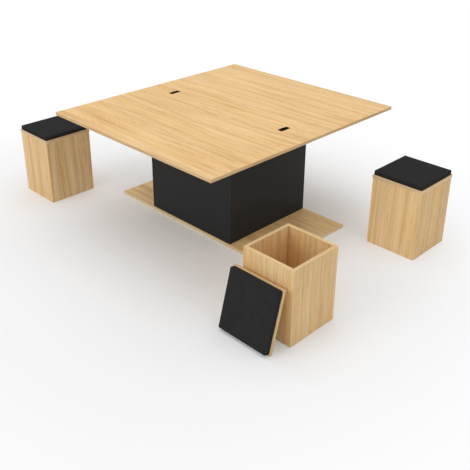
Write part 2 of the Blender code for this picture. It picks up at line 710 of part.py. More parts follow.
def build_poufs(root):
    lid_rest = POUF_BODY_HEIGHT + SEAT_GAP
    for prefix, centre in (("left_pouf", LEFT_POUF_CENTRE), ("right_pouf", RIGHT_POUF_CENTRE)):
        body = add_empty(prefix, (*centre, 0), root)
        build_pouf_body(prefix, centre, body)
        lid_axis = add_empty(prefix + "_lid", (centre[0], centre[1] - LID_Y / 2, lid_rest), body)
        build_lid(prefix, lid_axis, 0)
    body = add_empty("open_pouf", (*OPEN_POUF_CENTRE, 0), root)
    build_pouf_body("open_pouf", OPEN_POUF_CENTRE, body)
    locating_top = LID_Y - LID_OVERHANG - POUF_BOARD - LOCATING_PLAY
    locating_back = SEAT_GAP + LOCATING_DEPTH
    reach = locating_top * math.sin(LEAN_ANGLE) + locating_back * math.cos(LEAN_ANGLE)
    foot_y = OPEN_POUF_CENTRE[1] - POUF_Y / 2 - SEAT_GAP - reach
    lid_axis = add_empty("open_pouf_lid", (LEANING_LID_CENTRE_X, foot_y, 0), body)
    build_lid("open_pouf", lid_axis, math.pi / 2 - LEAN_ANGLE)


def build_table():
    root = add_empty("base", (0, 0, 0))
    front_axis = add_empty("front_arms", FRONT_PIVOT, root)
    rear_axis = add_empty("rear_arms", REAR_PIVOT, root)
    carrier = add_empty("top_carrier", FRONT_TOP_PIVOT, front_axis)
    fold_axis = add_empty("folding_top", (0, SEAM_Y, FOLD_AXIS_HEIGHT), carrier)
    strut_axis = add_empty("strut_cylinders", STRUT_FOOT, root)
    rod_axis = add_empty("strut_rods", STRUT_HEAD, strut_axis)
    build_base(root)
    build_mechanism(root, front_axis, rear_axis, carrier, strut_axis, rod_axis)
    build_top(carrier, fold_axis)
    build_poufs(root)


clear_scene()
build_table()
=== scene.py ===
# Looks of the lift-top coffee table and its three poufs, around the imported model.
# Units are metres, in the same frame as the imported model.

import json
import math

import bmesh
import bpy
from mathutils import Matrix, Vector


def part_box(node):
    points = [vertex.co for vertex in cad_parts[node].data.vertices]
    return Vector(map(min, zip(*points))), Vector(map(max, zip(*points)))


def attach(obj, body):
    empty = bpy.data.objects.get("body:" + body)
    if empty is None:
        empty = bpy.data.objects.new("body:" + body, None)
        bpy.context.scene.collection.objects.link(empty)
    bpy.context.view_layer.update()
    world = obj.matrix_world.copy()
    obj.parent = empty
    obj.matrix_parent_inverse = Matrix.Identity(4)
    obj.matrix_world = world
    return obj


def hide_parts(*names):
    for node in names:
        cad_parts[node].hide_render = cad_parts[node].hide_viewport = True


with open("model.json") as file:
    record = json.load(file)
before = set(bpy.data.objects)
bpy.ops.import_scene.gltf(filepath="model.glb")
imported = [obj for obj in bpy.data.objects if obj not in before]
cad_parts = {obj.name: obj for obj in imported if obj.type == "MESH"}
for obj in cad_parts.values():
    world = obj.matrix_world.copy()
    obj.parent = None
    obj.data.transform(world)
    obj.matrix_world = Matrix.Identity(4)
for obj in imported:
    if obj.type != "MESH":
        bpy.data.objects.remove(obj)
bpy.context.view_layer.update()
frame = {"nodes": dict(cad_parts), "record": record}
nodes = frame["nodes"]

# Camera
PICTURE_WIDTH = 470
FOCAL_PIXELS = 700
SENSOR = 36
CAMERA_PLACE = (2.545, -2.525, 1.851)
CAMERA_DOWN = math.radians(24.78)
CAMERA_TURN = 0.7946
CAMERA_SHIFT = (0.0216, -0.12)

# Light: strength of the world, and each lamp's place, aim, width and power
WORLD_LIGHT = 0.553
LAMPS = {
    "overhead": ((-0.3, 0.2, 4.2), (0, 0, 0), 4.0, 57),
    "front_left": ((-1.0, -5.0, 2.6), (0, 0, 0.3), 3.0, 72),
    "right": ((4.6, -0.6, 2.4), (0, 0, 0.3), 3.0, 22),
}
WHITE = (1.0, 1.0, 1.0, 1.0)

# Floor: its own tone, and the tone that the camera sees
FLOOR_HALF = 40
FLOOR_DROP = 0.0005
FLOOR_COLOUR = (0.86, 0.85, 0.84, 1.0)
FLOOR_SEEN_COLOUR = (0.955, 0.965, 0.980, 1.0)

# Fade of the floor to white: centre, towards the camera and to its right, radii and least share
FADE_CENTRE = (0.36, -0.38)
FADE_STEPS = (0.73, 2.20)
FADE_LEAST = 0.06

# Pads: foam slabs covered in black faux leather
PAD_CORNER_RADIUS = 0.009
PAD_EDGE_ROUND = 0.0034
PAD_UNDERCUT = 0.0022
PAD_SHRINK = 0.0010
PAD_START_DROP = 0.0010
PAD_CELL = 0.007
PAD_CORNER_CELLS = 6
PAD_ROUND_STEPS = 4
PAD_SIDE_STEPS = 5
PAD_PRESSURE = 4
PAD_FRAMES = 20
PAD_CAP = 0.0016
PAD_PLEAT = 0.0005
PAD_PLEATS = 3
# Tone of each pad's leather, pad by pad: painted light, lighter or darker for how light falls on that pad,
# most on the open pouf's leaning pad
PAD_PAINTED_LIGHT_TONES = {"left_pouf": 0.98, "right_pouf": 1.03, "open_pouf": 1.07}

# Screws: head radius, head height, socket radius and depth
HINGE_SCREW = (0.0030, 0.00012, 0.0014, 0.0007)
LID_SCREW = (0.0038, 0.00015, 0.0017, 0.0009)
BRACKET_SCREW = (0.0042, 0.0005, 0.0019, 0.0004)
RAIL_SCREW = (0.0045, 0.0020, 0.0021, 0.0012)

# Rings of a screw head from its foot to its top, as shares of its radius and height
SCREW_RINGS = ((1.0, 0.0), (1.0, 0.5), (0.93, 0.9), (0.80, 1.0))

# Steps round a screw, and the angle of one side of its hexagon socket
SCREW_STEPS = 24
SOCKET_SIDE = math.pi / 3

# Places of the screws: bracket screws from the front lower pivot, rail screws as shares of the rail's length
HINGE_SCREW_INSET = 0.0075
LID_SCREW_INSET = 0.030
BRACKET_SCREW_PLACES = ((0.040, -0.024), (0.118, -0.030), (0.072, -0.066), (0.122, -0.086))
BRACKET_FACE = 0.0033
RAIL_SCREW_SHARES = (0.07, 0.36, 0.66, 0.95)
RAIL_FLANGE_SHARE = 0.60
RAIL_THICKNESS = 0.003

# Mesh edges sharper than this many degrees stay sharp on screws; on pads none do
SCREW_SHARP = 35
PAD_SHARP = 180

# Tints of the oak boards' faces and edges, and the run of their grain; the top's warmer tint is painted warm
# light from above
TOP_PAINTED_WARM_LIGHT = (1.00, 0.94, 0.79)
PANEL_TINT = (1.0, 1.0, 0.97)
LEAF_EDGE_TINT = (0.84, 0.89, 1.09)
FLAT_EDGE_TINT = (0.88, 0.94, 1.10)
PANEL_EDGE_TINT = (0.95, 0.94, 0.94)
LEAF_RUN = 1.9
PANEL_RUN = 1.0
PLAIN = (1.0, 1.0, 1.0)

# Tones of single boards as the photo shows them: of the whole board, and of its edges on top of that. They
# are partly the boards' own tones and partly painted light and shade: faces made warmer or cooler for the
# light that falls on them, a painted highlight on the right pouf's lid edges and painted shade on the open
# pouf's left rim
BOARD_TONES_AND_PAINTED_LIGHT = {
    "base_plate": ((1.02, 1.04, 0.99), (1.05, 1.15, 1.32)),
    "left_pouf_front_panel": ((0.95, 0.945, 0.955), PLAIN),
    "left_pouf_right_panel": ((0.98, 1.03, 1.13), PLAIN),
    "right_pouf_front_panel": ((1.06, 1.09, 1.12), (0.95, 0.92, 0.86)),
    "right_pouf_right_panel": ((0.945, 0.915, 0.85), PLAIN),
    # Painted highlight on the edges of this lid
    "right_pouf_lid_board": (PLAIN, (1.08, 1.08, 1.08)),
    "open_pouf_right_panel": ((0.945, 0.92, 0.87), PLAIN),
    # Painted shade on the edges of this panel, the open pouf's left rim
    "open_pouf_left_panel": (PLAIN, (0.85, 0.90, 0.97)),
}

# Each board starts its grain somewhere else: seeds of the boards, and the move for each unit of seed
FIRST_SEED = 1.0
NEXT_SEED = 2.3
SEED_MOVE = (1.37, 0.71, 0.53)

# How squarely a board has to face x, or a surface an axis, to count as turned, an end or a face
TURNED_SQUARE = 0.5
END_SQUARE = 0.6
FACE_SQUARE = 0.9

# How deep a noise frays the worn edges and their painted highlight
FRAY = 0.0012

# Oak noises: cells a metre along the grain, across it and through the board, then detail and roughness
OAK_DRIFT = (1.3, 6.0, 6.0, 1.0, 0.5)
OAK_BANDS = (0.9, 38.0, 38.0, 2.0, 0.55)
OAK_STREAKS = (2.8, 145.0, 145.0, 3.0, 0.6)
OAK_FIBRES = (16.0, 1100.0, 1100.0, 2.0, 0.6)
OAK_FIGURE = (1.5, 8.5, 8.5, 0.6, 0.3)
OAK_CLOUD = (2.2, 3.5, 3.5, 1.0, 0.5)
OAK_WARMTH = (0.8, 21.0, 21.0, 1.0, 0.5)
OAK_PORES = (26.0, 1500.0, 1500.0, 1.0, 0.5)
OAK_RUB = (60.0, 60.0, 60.0, 3.0, 0.6)

# Oak: how strongly each noise tells in the tone, and how the middle tone moves from board to board
OAK_WARP = 0.045
OAK_BANDS_SHARE = 0.95
OAK_STREAKS_SHARE = 0.62
OAK_FIBRES_SHARE = 0.30
OAK_FIGURE_LINES = 150.0
OAK_FIGURE_SHARE = 0.045
OAK_CLOUD_SHARE = 0.25
OAK_MIDDLE = 0.53
OAK_MIDDLE_SWING = 0.02
OAK_MIDDLE_TURN = 2.3
OAK_STOPS = (
    (0.10, (0.560, 0.330, 0.140)),
    (0.36, (0.720, 0.460, 0.205)),
    (0.52, (0.815, 0.555, 0.275)),
    (0.70, (0.875, 0.630, 0.345)),
    (0.92, (0.915, 0.695, 0.415)),
)

# Oak: warmer and cooler runs, pores, the edge band's joint and worn edges with a painted highlight, as
# levels, share and colour
OAK_WARMTH_STEPS = (0.35, 0.65)
OAK_COOL = (0.985, 1.0, 1.05, 1.0)
OAK_WARM = (1.015, 1.0, 0.95, 1.0)
OAK_PORE_STEPS = (0.62, 0.74)
OAK_PORE_SHARE = 0.35
OAK_PORE = (0.42, 0.235, 0.095, 1.0)
OAK_JOINT_DEPTH = 0.0013
OAK_JOINT_STEPS = (0.00035, 0.0001)
OAK_JOINT_SHARE = 0.40
OAK_JOINT = (0.40, 0.235, 0.11, 1.0)
# Outermost edges painted lighter: wear, together with a painted highlight along the bevel
OAK_WORN_HIGHLIGHT_STEPS = (0.0006, -0.0002)
OAK_WORN_HIGHLIGHT_SHARE = 0.45
OAK_WORN_HIGHLIGHT = (0.90, 0.72, 0.47, 1.0)

# Oak gloss and relief; a bump is its height and its strength
OAK_ROUGHNESS = 0.50
OAK_STREAKS_ROUGHNESS = 0.28
OAK_RUB_ROUGHNESS = 0.10
OAK_STREAKS_HEIGHT = 0.8
OAK_PORE_HEIGHT = 0.9
OAK_BUMP = (0.00018, 0.55)
OAK_SPECULAR = 0.28

# Anthracite boards: noises, tone, the edge band's joint, worn edges with a painted highlight, gloss and
# relief, as for the oak
ANTHRACITE_PEARL = (620.0, 900.0, 900.0, 2.0, 0.55)
ANTHRACITE_CLOUD = (7.0, 9.0, 9.0, 3.0, 0.6)
ANTHRACITE_PEARL_SHARE = 0.5
ANTHRACITE_CLOUD_SHARE = 0.5
ANTHRACITE_MIDDLE = 0.5
ANTHRACITE_STOPS = ((0.25, (0.0109, 0.0117, 0.0128)), (0.75, (0.0176, 0.0187, 0.0203)))
ANTHRACITE_JOINT_DEPTH = 0.0012
ANTHRACITE_JOINT_STEPS = (0.0004, 0.0001)
ANTHRACITE_JOINT_SHARE = 0.6
ANTHRACITE_JOINT = (0.008, 0.008, 0.008, 1.0)
ANTHRACITE_RUB = (70.0, 70.0, 70.0, 3.0, 0.6)
# Outermost edges painted paler: wear, together with a painted highlight of the edge band
ANTHRACITE_WORN_HIGHLIGHT_STEPS = (0.0005, -0.0003)
ANTHRACITE_WORN_HIGHLIGHT_SHARE = 0.5
ANTHRACITE_WORN_HIGHLIGHT = (0.075, 0.073, 0.072, 1.0)
ANTHRACITE_ROUGHNESS = 0.55
ANTHRACITE_CLOUD_ROUGHNESS = 0.25
ANTHRACITE_BUMP = (0.00015, 0.5)
ANTHRACITE_SPECULAR = 0.20

# Faux leather: pebbles and creases, both bent by a swirl, and a cloudiness
LEATHER_MOVE = (0.31, 0.17, 0.0)
SWIRL_SCALE = 160.0
SWIRL_DETAIL = 2.0
SWIRL_REACH = (0.0016, 0.0016, 0.0016)
PEBBLE_SCALE = 620.0
PEBBLE_SMOOTHNESS = 0.35
CREASE_SCALE = 190.0
CREASE_STEPS = (0.0, 0.10)
LEATHER_CLOUD = (22.0, 22.0, 22.0, 3.0, 0.6)
LEATHER_LIFT = 0.25
LEATHER_PEBBLE_SHARE = 0.5
LEATHER_STOPS = ((0.20, (0.0250, 0.0250, 0.0253)), (0.80, (0.0308, 0.0308, 0.0313)))
LEATHER_ROUGHNESS = 0.54
LEATHER_CLOUD_ROUGHNESS = 0.30
LEATHER_PEBBLE_ROUGHNESS = 0.12
LEATHER_CREASE_HEIGHT = 0.55
LEATHER_BUMP = (0.00035, 0.55)
LEATHER_SPECULAR = 0.03
LEATHER_IOR = 1.2

# Powder-coated steel of the mechanism
COAT_PEEL = (900.0, 900.0, 900.0, 2.0, 0.5)
COAT_CLOUD = (35.0, 35.0, 35.0, 3.0, 0.6)
COAT_STOPS = ((0.3, (0.0105, 0.0105, 0.0110)), (0.7, (0.0170, 0.0170, 0.0175)))
COAT_ROUGHNESS = 0.38
COAT_CLOUD_ROUGHNESS = 0.35
COAT_BUMP = (0.0002, 0.45)
COAT_SPECULAR = 0.4

# Blackened steel of the leaf hinges
HINGE_CLOUD = (90.0, 90.0, 90.0, 3.0, 0.6)
HINGE_STOPS = ((0.3, (0.0016, 0.0011, 0.0009)), (0.7, (0.0042, 0.0028, 0.0022)))
HINGE_ROUGHNESS = 0.55
HINGE_CLOUD_ROUGHNESS = 0.3
HINGE_BUMP = (0.0001, 0.3)
HINGE_SPECULAR = 0.04
HINGE_IOR = 1.2

# Bare metals: light and dark tone, roughness and how far it varies, and the machining marks
ZINC = {
    "light": (0.66, 0.67, 0.69), "dark": (0.50, 0.51, 0.54), "roughness": 0.30, "uneven": 0.20,
    "marks": (1400.0, 260.0, 260.0, 2.0, 0.6)}
CHROME = {
    "light": (0.84, 0.85, 0.87), "dark": (0.74, 0.75, 0.78), "roughness": 0.11, "uneven": 0.08,
    "marks": (1600.0, 1600.0, 120.0, 2.0, 0.6)}
METAL_CLOUD = (60.0, 60.0, 60.0, 3.0, 0.6)
METAL_STEPS = (0.3, 0.7)
METAL_BUMP = (0.00005, 0.4)

# Sockets of the Mix node when it mixes colours
MIX_FACTOR, MIX_FIRST, MIX_SECOND, MIX_RESULT = 0, 6, 7, 2


class Shader:
    """One material's node tree. Inputs take a socket or a plain value alike."""

    def __init__(self, name):
        self.material = bpy.data.materials.new(name)
        self.material.use_nodes = True
        self.tree = self.material.node_tree
        self.surface = self.tree.nodes["Principled BSDF"]

    def feed(self, socket, value):
        if isinstance(value, bpy.types.NodeSocket):
            self.tree.links.new(value, socket)
        else:
            socket.default_value = value

    def node(self, kind, inputs=None, **settings):
        made = self.tree.nodes.new("ShaderNode" + kind)
        for name, value in settings.items():
            setattr(made, name, value)
        for key, value in (inputs or {}).items():
            self.feed(made.inputs[key], value)
        return made

    def math(self, operation, *values):
        return self.node("Math", dict(enumerate(values)), operation=operation).outputs[0]

    def vector(self, operation, *values):
        made = self.node("VectorMath", dict(enumerate(values)), operation=operation)
        return made.outputs["Value" if operation in ("DOT_PRODUCT", "LENGTH") else "Vector"]

    def total(self, first, *others):
        for other in others:
            first = self.math("ADD", first, other)
        return first

    def scaled(self, value, share):
        return self.math("MULTIPLY", value, share)

    def centred(self, value, share):
        """A noise moved to lie about nought, at a share of its strength."""
        return self.scaled(self.math("SUBTRACT", value, 0.5), share)

    def noise(self, place, kind, run=1.0):
        """A noise of a kind: cells a metre along, across and through, then detail and roughness."""
        along, across, through, detail, roughness = kind
        cells = self.vector("MULTIPLY", place, (along * run, across, through))
        made = self.node("TexNoise", {
            "Vector": cells, "Scale": 1.0, "Detail": detail, "Roughness": roughness})
        return made.outputs["Fac"]

    def blend(self, value, low, high, least=0.0):
        """Smooth step of a value between two levels, from the least to 1."""
        made = self.node("MapRange", {
            "Value": value, "From Min": low, "From Max": high, "To Min": least, "To Max": 1.0},
            interpolation_type="SMOOTHSTEP")
        return made.outputs["Result"]

    def mix(self, factor, first, second, blend_type="MIX"):
        sockets = {MIX_FACTOR: factor, MIX_FIRST: first, MIX_SECOND: second}
        made = self.node("Mix", sockets, data_type="RGBA", blend_type=blend_type)
        return made.outputs[MIX_RESULT]

    def tinted(self, colour, tint):
        return self.mix(1.0, colour, tint, "MULTIPLY")

    def ramp(self, factor, stops):
        made = self.node("ValToRGB", {"Fac": factor})
        elements = made.color_ramp.elements
        while len(elements) < len(stops):
            elements.new(0.5)
        for element, (level, colour) in zip(elements, stops):
            element.position = level
            element.color = (*colour, 1.0)
        return made.outputs["Color"]

    def object_place(self):
        return self.node("TexCoord").outputs["Object"]

    def bump(self, height, distance, strength):
        made = self.node("Bump", {"Height": height, "Distance": distance, "Strength": strength})
        self.feed(self.surface.inputs["Normal"], made.outputs["Normal"])

    def finish(self, colour, roughness, **constants):
        self.feed(self.surface.inputs["Base Color"], colour)
        self.feed(self.surface.inputs["Roughness"], roughness)
        for name, value in constants.items():
            self.surface.inputs[name.replace("_", " ")].default_value = value
        return self.material


# Frames of single boards
def spread(item, axes):
    """Centre of an item's mesh, the three axes, and its half sizes along them."""
    centre = Vector()
    halves = []
    for axis in axes:
        reach = [vert.co.dot(axis) for vert in item.data.vertices]
        centre += axis * (min(reach) + max(reach)) / 2
        halves.append((max(reach) - min(reach)) / 2)
    return centre, axes, halves


def flat_frame(item):
    """The same for a board's own axes: two in its plane, and the normal of its largest face."""
    largest = max(item.data.polygons, key=lambda face: face.area)
    normal = largest.normal.copy()
    if normal.dot(Vector((1, 1, 1))) < 0:
        normal.negate()
    side = Vector((0, 1, 0)) if abs(normal.x) > TURNED_SQUARE else Vector((1, 0, 0))
    up = normal.cross(side).normalized()
    return spread(item, (side, up, normal))


def faces_axis(shader, direction, axis, least):
    """1 where a surface faces along an axis, either way."""
    along = shader.math("ABSOLUTE", shader.vector("DOT_PRODUCT", direction, axis))
    return shader.math("GREATER_THAN", along, least)


def board_places(shader, board_frame, grain_up, seed):
    """Coordinates along the grain, across it and through a board, the way to its edges, 1 on its faces."""
    centre, (side, up, normal), (half_side, half_up, half_normal) = board_frame
    grain, across = (up, side) if grain_up else (side, up)
    source = shader.node("TexCoord").outputs
    local = shader.vector("SUBTRACT", source["Object"], centre)
    along = shader.vector("DOT_PRODUCT", local, grain)
    cross = shader.vector("DOT_PRODUCT", local, across)
    through = shader.vector("DOT_PRODUCT", local, normal)
    on_end = faces_axis(shader, source["Normal"], grain, END_SQUARE)
    not_end = shader.math("SUBTRACT", 1.0, on_end)
    length = shader.total(shader.scaled(along, not_end), shader.scaled(cross, on_end))
    width = shader.total(shader.scaled(cross, not_end), shader.scaled(along, on_end))
    place = shader.node("CombineXYZ", {0: length, 1: width, 2: through}).outputs[0]
    place = shader.vector("ADD", place, tuple(seed * move for move in SEED_MOVE))
    gaps = []
    for axis, half in ((side, half_side), (up, half_up), (normal, half_normal)):
        reach = shader.math("ABSOLUTE", shader.vector("DOT_PRODUCT", local, axis))
        gaps.append(shader.math("SUBTRACT", half, reach))
    low = shader.math("MINIMUM", gaps[0], gaps[1])
    high = shader.math("MAXIMUM", gaps[0], gaps[1])
    to_edge = shader.math("MAXIMUM", low, shader.math("MINIMUM", high, gaps[2]))
    on_face = faces_axis(shader, source["Normal"], normal, FACE_SQUARE)
    return place, to_edge, on_face


def band_joint(shader, to_edge, on_face, depth, steps):
    """1 on the fine line where the edge band meets the face."""
    line = shader.math("ABSOLUTE", shader.math("SUBTRACT", to_edge, depth))
    return shader.scaled(shader.blend(line, *steps), on_face)


def edge_wear_and_highlight(shader, to_edge, rub, steps):
    """1 on the outermost edges, frayed by a noise: the worn edges and their painted highlight."""
    rubbed = shader.math("SUBTRACT", to_edge, shader.scaled(rub, FRAY))
    return shader.blend(rubbed, *steps)


# Materials
def product(first, second):
    return tuple(a * b for a, b in zip(first, second))


def oak_material(item, grain_up, seed, run, tint, edge_tint):
    """Printed oak board with banded edges: growth bands, streaks, figure, pores, and worn corners with a
    painted highlight.
    """
    shader = Shader("oak_" + item.name)
    place, to_edge, on_face = board_places(shader, flat_frame(item), grain_up, seed)
    drift = shader.noise(place, OAK_DRIFT)
    warp = shader.node("CombineXYZ", {1: shader.centred(drift, OAK_WARP), 2: 0.0}).outputs[0]
    warped = shader.vector("ADD", place, warp)
    bands = shader.noise(warped, OAK_BANDS, run)
    streaks = shader.noise(warped, OAK_STREAKS, run)
    fibres = shader.noise(warped, OAK_FIBRES)
    figure = shader.math("SINE", shader.scaled(shader.noise(warped, OAK_FIGURE), OAK_FIGURE_LINES))
    cloud = shader.noise(place, OAK_CLOUD)
    tone = shader.total(
        shader.centred(bands, OAK_BANDS_SHARE),
        shader.centred(streaks, OAK_STREAKS_SHARE),
        shader.centred(fibres, OAK_FIBRES_SHARE),
        shader.scaled(figure, OAK_FIGURE_SHARE),
        shader.centred(cloud, OAK_CLOUD_SHARE),
        OAK_MIDDLE + OAK_MIDDLE_SWING * math.sin(seed * OAK_MIDDLE_TURN))
    stops = [(level, [min(part, 1.0) for part in product(colour, tint)]) for level, colour in OAK_STOPS]
    colour = shader.ramp(tone, stops)
    warmth = shader.blend(shader.noise(warped, OAK_WARMTH), *OAK_WARMTH_STEPS)
    colour = shader.tinted(colour, shader.mix(warmth, OAK_COOL, OAK_WARM))
    colour = shader.mix(on_face, shader.tinted(colour, (*edge_tint, 1.0)), colour)
    pores = shader.blend(shader.noise(warped, OAK_PORES), *OAK_PORE_STEPS)
    colour = shader.mix(shader.scaled(pores, OAK_PORE_SHARE), colour, OAK_PORE)
    joint = band_joint(shader, to_edge, on_face, OAK_JOINT_DEPTH, OAK_JOINT_STEPS)
    colour = shader.mix(shader.scaled(joint, OAK_JOINT_SHARE), colour, OAK_JOINT)
    rub = shader.noise(place, OAK_RUB)
    # Lighter outermost edges: wear, together with a painted highlight along the bevel
    worn_and_highlight = edge_wear_and_highlight(shader, to_edge, rub, OAK_WORN_HIGHLIGHT_STEPS)
    colour = shader.mix(shader.scaled(worn_and_highlight, OAK_WORN_HIGHLIGHT_SHARE), colour, OAK_WORN_HIGHLIGHT)
    roughness = shader.total(
        OAK_ROUGHNESS,
        shader.centred(streaks, OAK_STREAKS_ROUGHNESS),
        shader.centred(rub, OAK_RUB_ROUGHNESS))
    height = shader.total(fibres, shader.scaled(streaks, OAK_STREAKS_HEIGHT))
    height = shader.math("SUBTRACT", height, shader.scaled(pores, OAK_PORE_HEIGHT))
    height = shader.math("SUBTRACT", height, joint)
    shader.bump(height, *OAK_BUMP)
    return shader.finish(colour, roughness, Specular_IOR_Level=OAK_SPECULAR)


def anthracite_material(item, seed):
    """Dark melamine with a fine pearl texture, a faint cloudiness and paler edges, worn and with a painted
    highlight.
    """
    shader = Shader("anthracite_" + item.name)
    place, to_edge, on_face = board_places(shader, flat_frame(item), True, seed)
    pearl = shader.noise(place, ANTHRACITE_PEARL)
    cloud = shader.noise(place, ANTHRACITE_CLOUD)
    tone = shader.total(
        shader.centred(pearl, ANTHRACITE_PEARL_SHARE),
        shader.centred(cloud, ANTHRACITE_CLOUD_SHARE),
        ANTHRACITE_MIDDLE)
    colour = shader.ramp(tone, ANTHRACITE_STOPS)
    joint = band_joint(shader, to_edge, on_face, ANTHRACITE_JOINT_DEPTH, ANTHRACITE_JOINT_STEPS)
    colour = shader.mix(shader.scaled(joint, ANTHRACITE_JOINT_SHARE), colour, ANTHRACITE_JOINT)
    # Paler outermost edges: wear, together with a painted highlight of the edge band
    worn_and_highlight = edge_wear_and_highlight(shader, to_edge, shader.noise(place, ANTHRACITE_RUB), ANTHRACITE_WORN_HIGHLIGHT_STEPS)
    colour = shader.mix(shader.scaled(worn_and_highlight, ANTHRACITE_WORN_HIGHLIGHT_SHARE), colour, ANTHRACITE_WORN_HIGHLIGHT)
    roughness = shader.total(ANTHRACITE_ROUGHNESS, shader.centred(cloud, ANTHRACITE_CLOUD_ROUGHNESS))
    shader.bump(shader.math("SUBTRACT", pearl, joint), *ANTHRACITE_BUMP)
    return shader.finish(colour, roughness, Specular_IOR_Level=ANTHRACITE_SPECULAR)


def leather_material(prefix, seed):
    """Black faux leather: a pebbled grain, creases and a faint cloudiness."""
    shader = Shader("faux_leather_" + prefix)
    place = shader.vector("ADD", shader.object_place(), tuple(seed * move for move in LEATHER_MOVE))
    swirl = shader.node("TexNoise", {"Vector": place, "Scale": SWIRL_SCALE, "Detail": SWIRL_DETAIL})
    bent = shader.vector("MULTIPLY", swirl.outputs["Color"], SWIRL_REACH)
    bent = shader.vector("ADD", place, bent)
    pebbles = shader.node(
        "TexVoronoi", {"Vector": bent, "Scale": PEBBLE_SCALE, "Smoothness": PEBBLE_SMOOTHNESS},
        feature="SMOOTH_F1").outputs["Distance"]
    creases = shader.node(
        "TexVoronoi", {"Vector": bent, "Scale": CREASE_SCALE}, feature="DISTANCE_TO_EDGE").outputs["Distance"]
    creases = shader.blend(creases, *CREASE_STEPS)
    cloud = shader.noise(place, LEATHER_CLOUD)
    tone = shader.math(
        "SUBTRACT", shader.total(cloud, LEATHER_LIFT), shader.scaled(pebbles, LEATHER_PEBBLE_SHARE))
    # Each pad's tone is painted light, for how light falls on that pad
    pad_painted_light = PAD_PAINTED_LIGHT_TONES[prefix]
    colour = shader.ramp(tone, [(level, [part * pad_painted_light for part in stop]) for level, stop in LEATHER_STOPS])
    roughness = shader.total(
        LEATHER_ROUGHNESS,
        shader.centred(cloud, LEATHER_CLOUD_ROUGHNESS),
        shader.scaled(pebbles, LEATHER_PEBBLE_ROUGHNESS))
    height = shader.math("SUBTRACT", shader.scaled(creases, LEATHER_CREASE_HEIGHT), pebbles)
    shader.bump(height, *LEATHER_BUMP)
    return shader.finish(colour, roughness, Specular_IOR_Level=LEATHER_SPECULAR, IOR=LEATHER_IOR)


def coated_steel_material():
    """Black powder-coated steel with an orange-peel surface."""
    shader = Shader("powder_coated_steel")
    place = shader.object_place()
    peel = shader.noise(place, COAT_PEEL)
    cloud = shader.noise(place, COAT_CLOUD)
    colour = shader.ramp(cloud, COAT_STOPS)
    roughness = shader.total(COAT_ROUGHNESS, shader.centred(cloud, COAT_CLOUD_ROUGHNESS))
    shader.bump(peel, *COAT_BUMP)
    return shader.finish(colour, roughness, Specular_IOR_Level=COAT_SPECULAR)


def hinge_material():
    """Dull black hinge steel, darker than the coated steel of the mechanism."""
    shader = Shader("blackened_steel")
    cloud = shader.noise(shader.object_place(), HINGE_CLOUD)
    colour = shader.ramp(cloud, HINGE_STOPS)
    roughness = shader.total(HINGE_ROUGHNESS, shader.centred(cloud, HINGE_CLOUD_ROUGHNESS))
    shader.bump(cloud, *HINGE_BUMP)
    return shader.finish(colour, roughness, Specular_IOR_Level=HINGE_SPECULAR, IOR=HINGE_IOR)


def metal_material(name, light, dark, roughness, uneven, marks):
    """Bare metal with fine machining marks and a few duller patches."""
    shader = Shader(name)
    place = shader.object_place()
    lines = shader.noise(place, marks)
    cloud = shader.noise(place, METAL_CLOUD)
    colour = shader.ramp(cloud, tuple(zip(METAL_STEPS, (dark, light))))
    roughness = shader.total(roughness, shader.centred(lines, uneven), shader.centred(cloud, uneven))
    shader.bump(lines, *METAL_BUMP)
    return shader.finish(colour, roughness, Metallic=1.0)


def board_material(item, name, seed):
    """The oak of one board: grain upright in the sides of the poufs, lengthwise in all else."""
    upright = name.endswith("_panel") and "floor" not in name
    if name.endswith("_leaf"):
        # The leaves take the top's tint of painted warm light from above
        run, tint, edge_tint = LEAF_RUN, TOP_PAINTED_WARM_LIGHT, LEAF_EDGE_TINT
    elif upright:
        run, tint, edge_tint = PANEL_RUN, PANEL_TINT, PANEL_EDGE_TINT
    else:
        run, tint, edge_tint = PANEL_RUN, PANEL_TINT, FLAT_EDGE_TINT
    # A board's own tone together with painted light and shade on its faces and edges
    tone, edge_tone = BOARD_TONES_AND_PAINTED_LIGHT.get(name, (PLAIN, PLAIN))
    return oak_material(item, upright, seed, run, product(tint, tone), product(edge_tint, edge_tone))


def dress(item, material):
    item.data.materials.clear()
    item.data.materials.append(material)


def dress_nodes():
    """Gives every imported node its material, and returns the two steels that the screws share."""
    coated = coated_steel_material()
    hinge = hinge_material()
    zinc = metal_material("zinc_plated_steel", **ZINC)
    chrome = metal_material("chromed_steel", **CHROME)
    finishes = {part["node"]: part["material_slot"] for part in frame["record"]["subparts"]}
    for index, name in enumerate(sorted(nodes)):
        item = nodes[name]
        finish = finishes[name]
        seed = FIRST_SEED + index * NEXT_SEED
        if finish == "oak_board":
            dress(item, board_material(item, name, seed))
        elif finish == "anthracite_board":
            dress(item, anthracite_material(item, seed))
        elif finish == "zinc_steel":
            dress(item, zinc)
        elif finish == "chrome_steel":
            dress(item, chrome)
        elif finish == "black_steel":
            dress(item, hinge if name.startswith("leaf_hinge") else coated)
    return coated, hinge


# New pieces
def add_piece(name, maker, body, material, sharp):
    mesh = bpy.data.meshes.new(name)
    maker.normal_update()
    maker.to_mesh(mesh)
    maker.free()
    piece = bpy.data.objects.new(name, mesh)
    bpy.context.scene.collection.objects.link(piece)
    mesh.shade_smooth()
    mesh.set_sharp_from_angle(angle=math.radians(sharp))
    mesh.materials.append(material)
    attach(piece, body)
    return piece


def join_loops(maker, lower, upper):
    """One row of faces between two closed loops of points."""
    for index in range(len(lower)):
        after = (index + 1) % len(lower)
        maker.faces.new((lower[index], lower[after], upper[after], upper[index]))


# Screws
def socket_radius(step, radius):
    """Reach of a hexagon socket at a step round it."""
    bend = (2 * math.pi * step / SCREW_STEPS) % SOCKET_SIDE - SOCKET_SIDE / 2
    return radius * math.cos(SOCKET_SIDE / 2) / math.cos(bend)


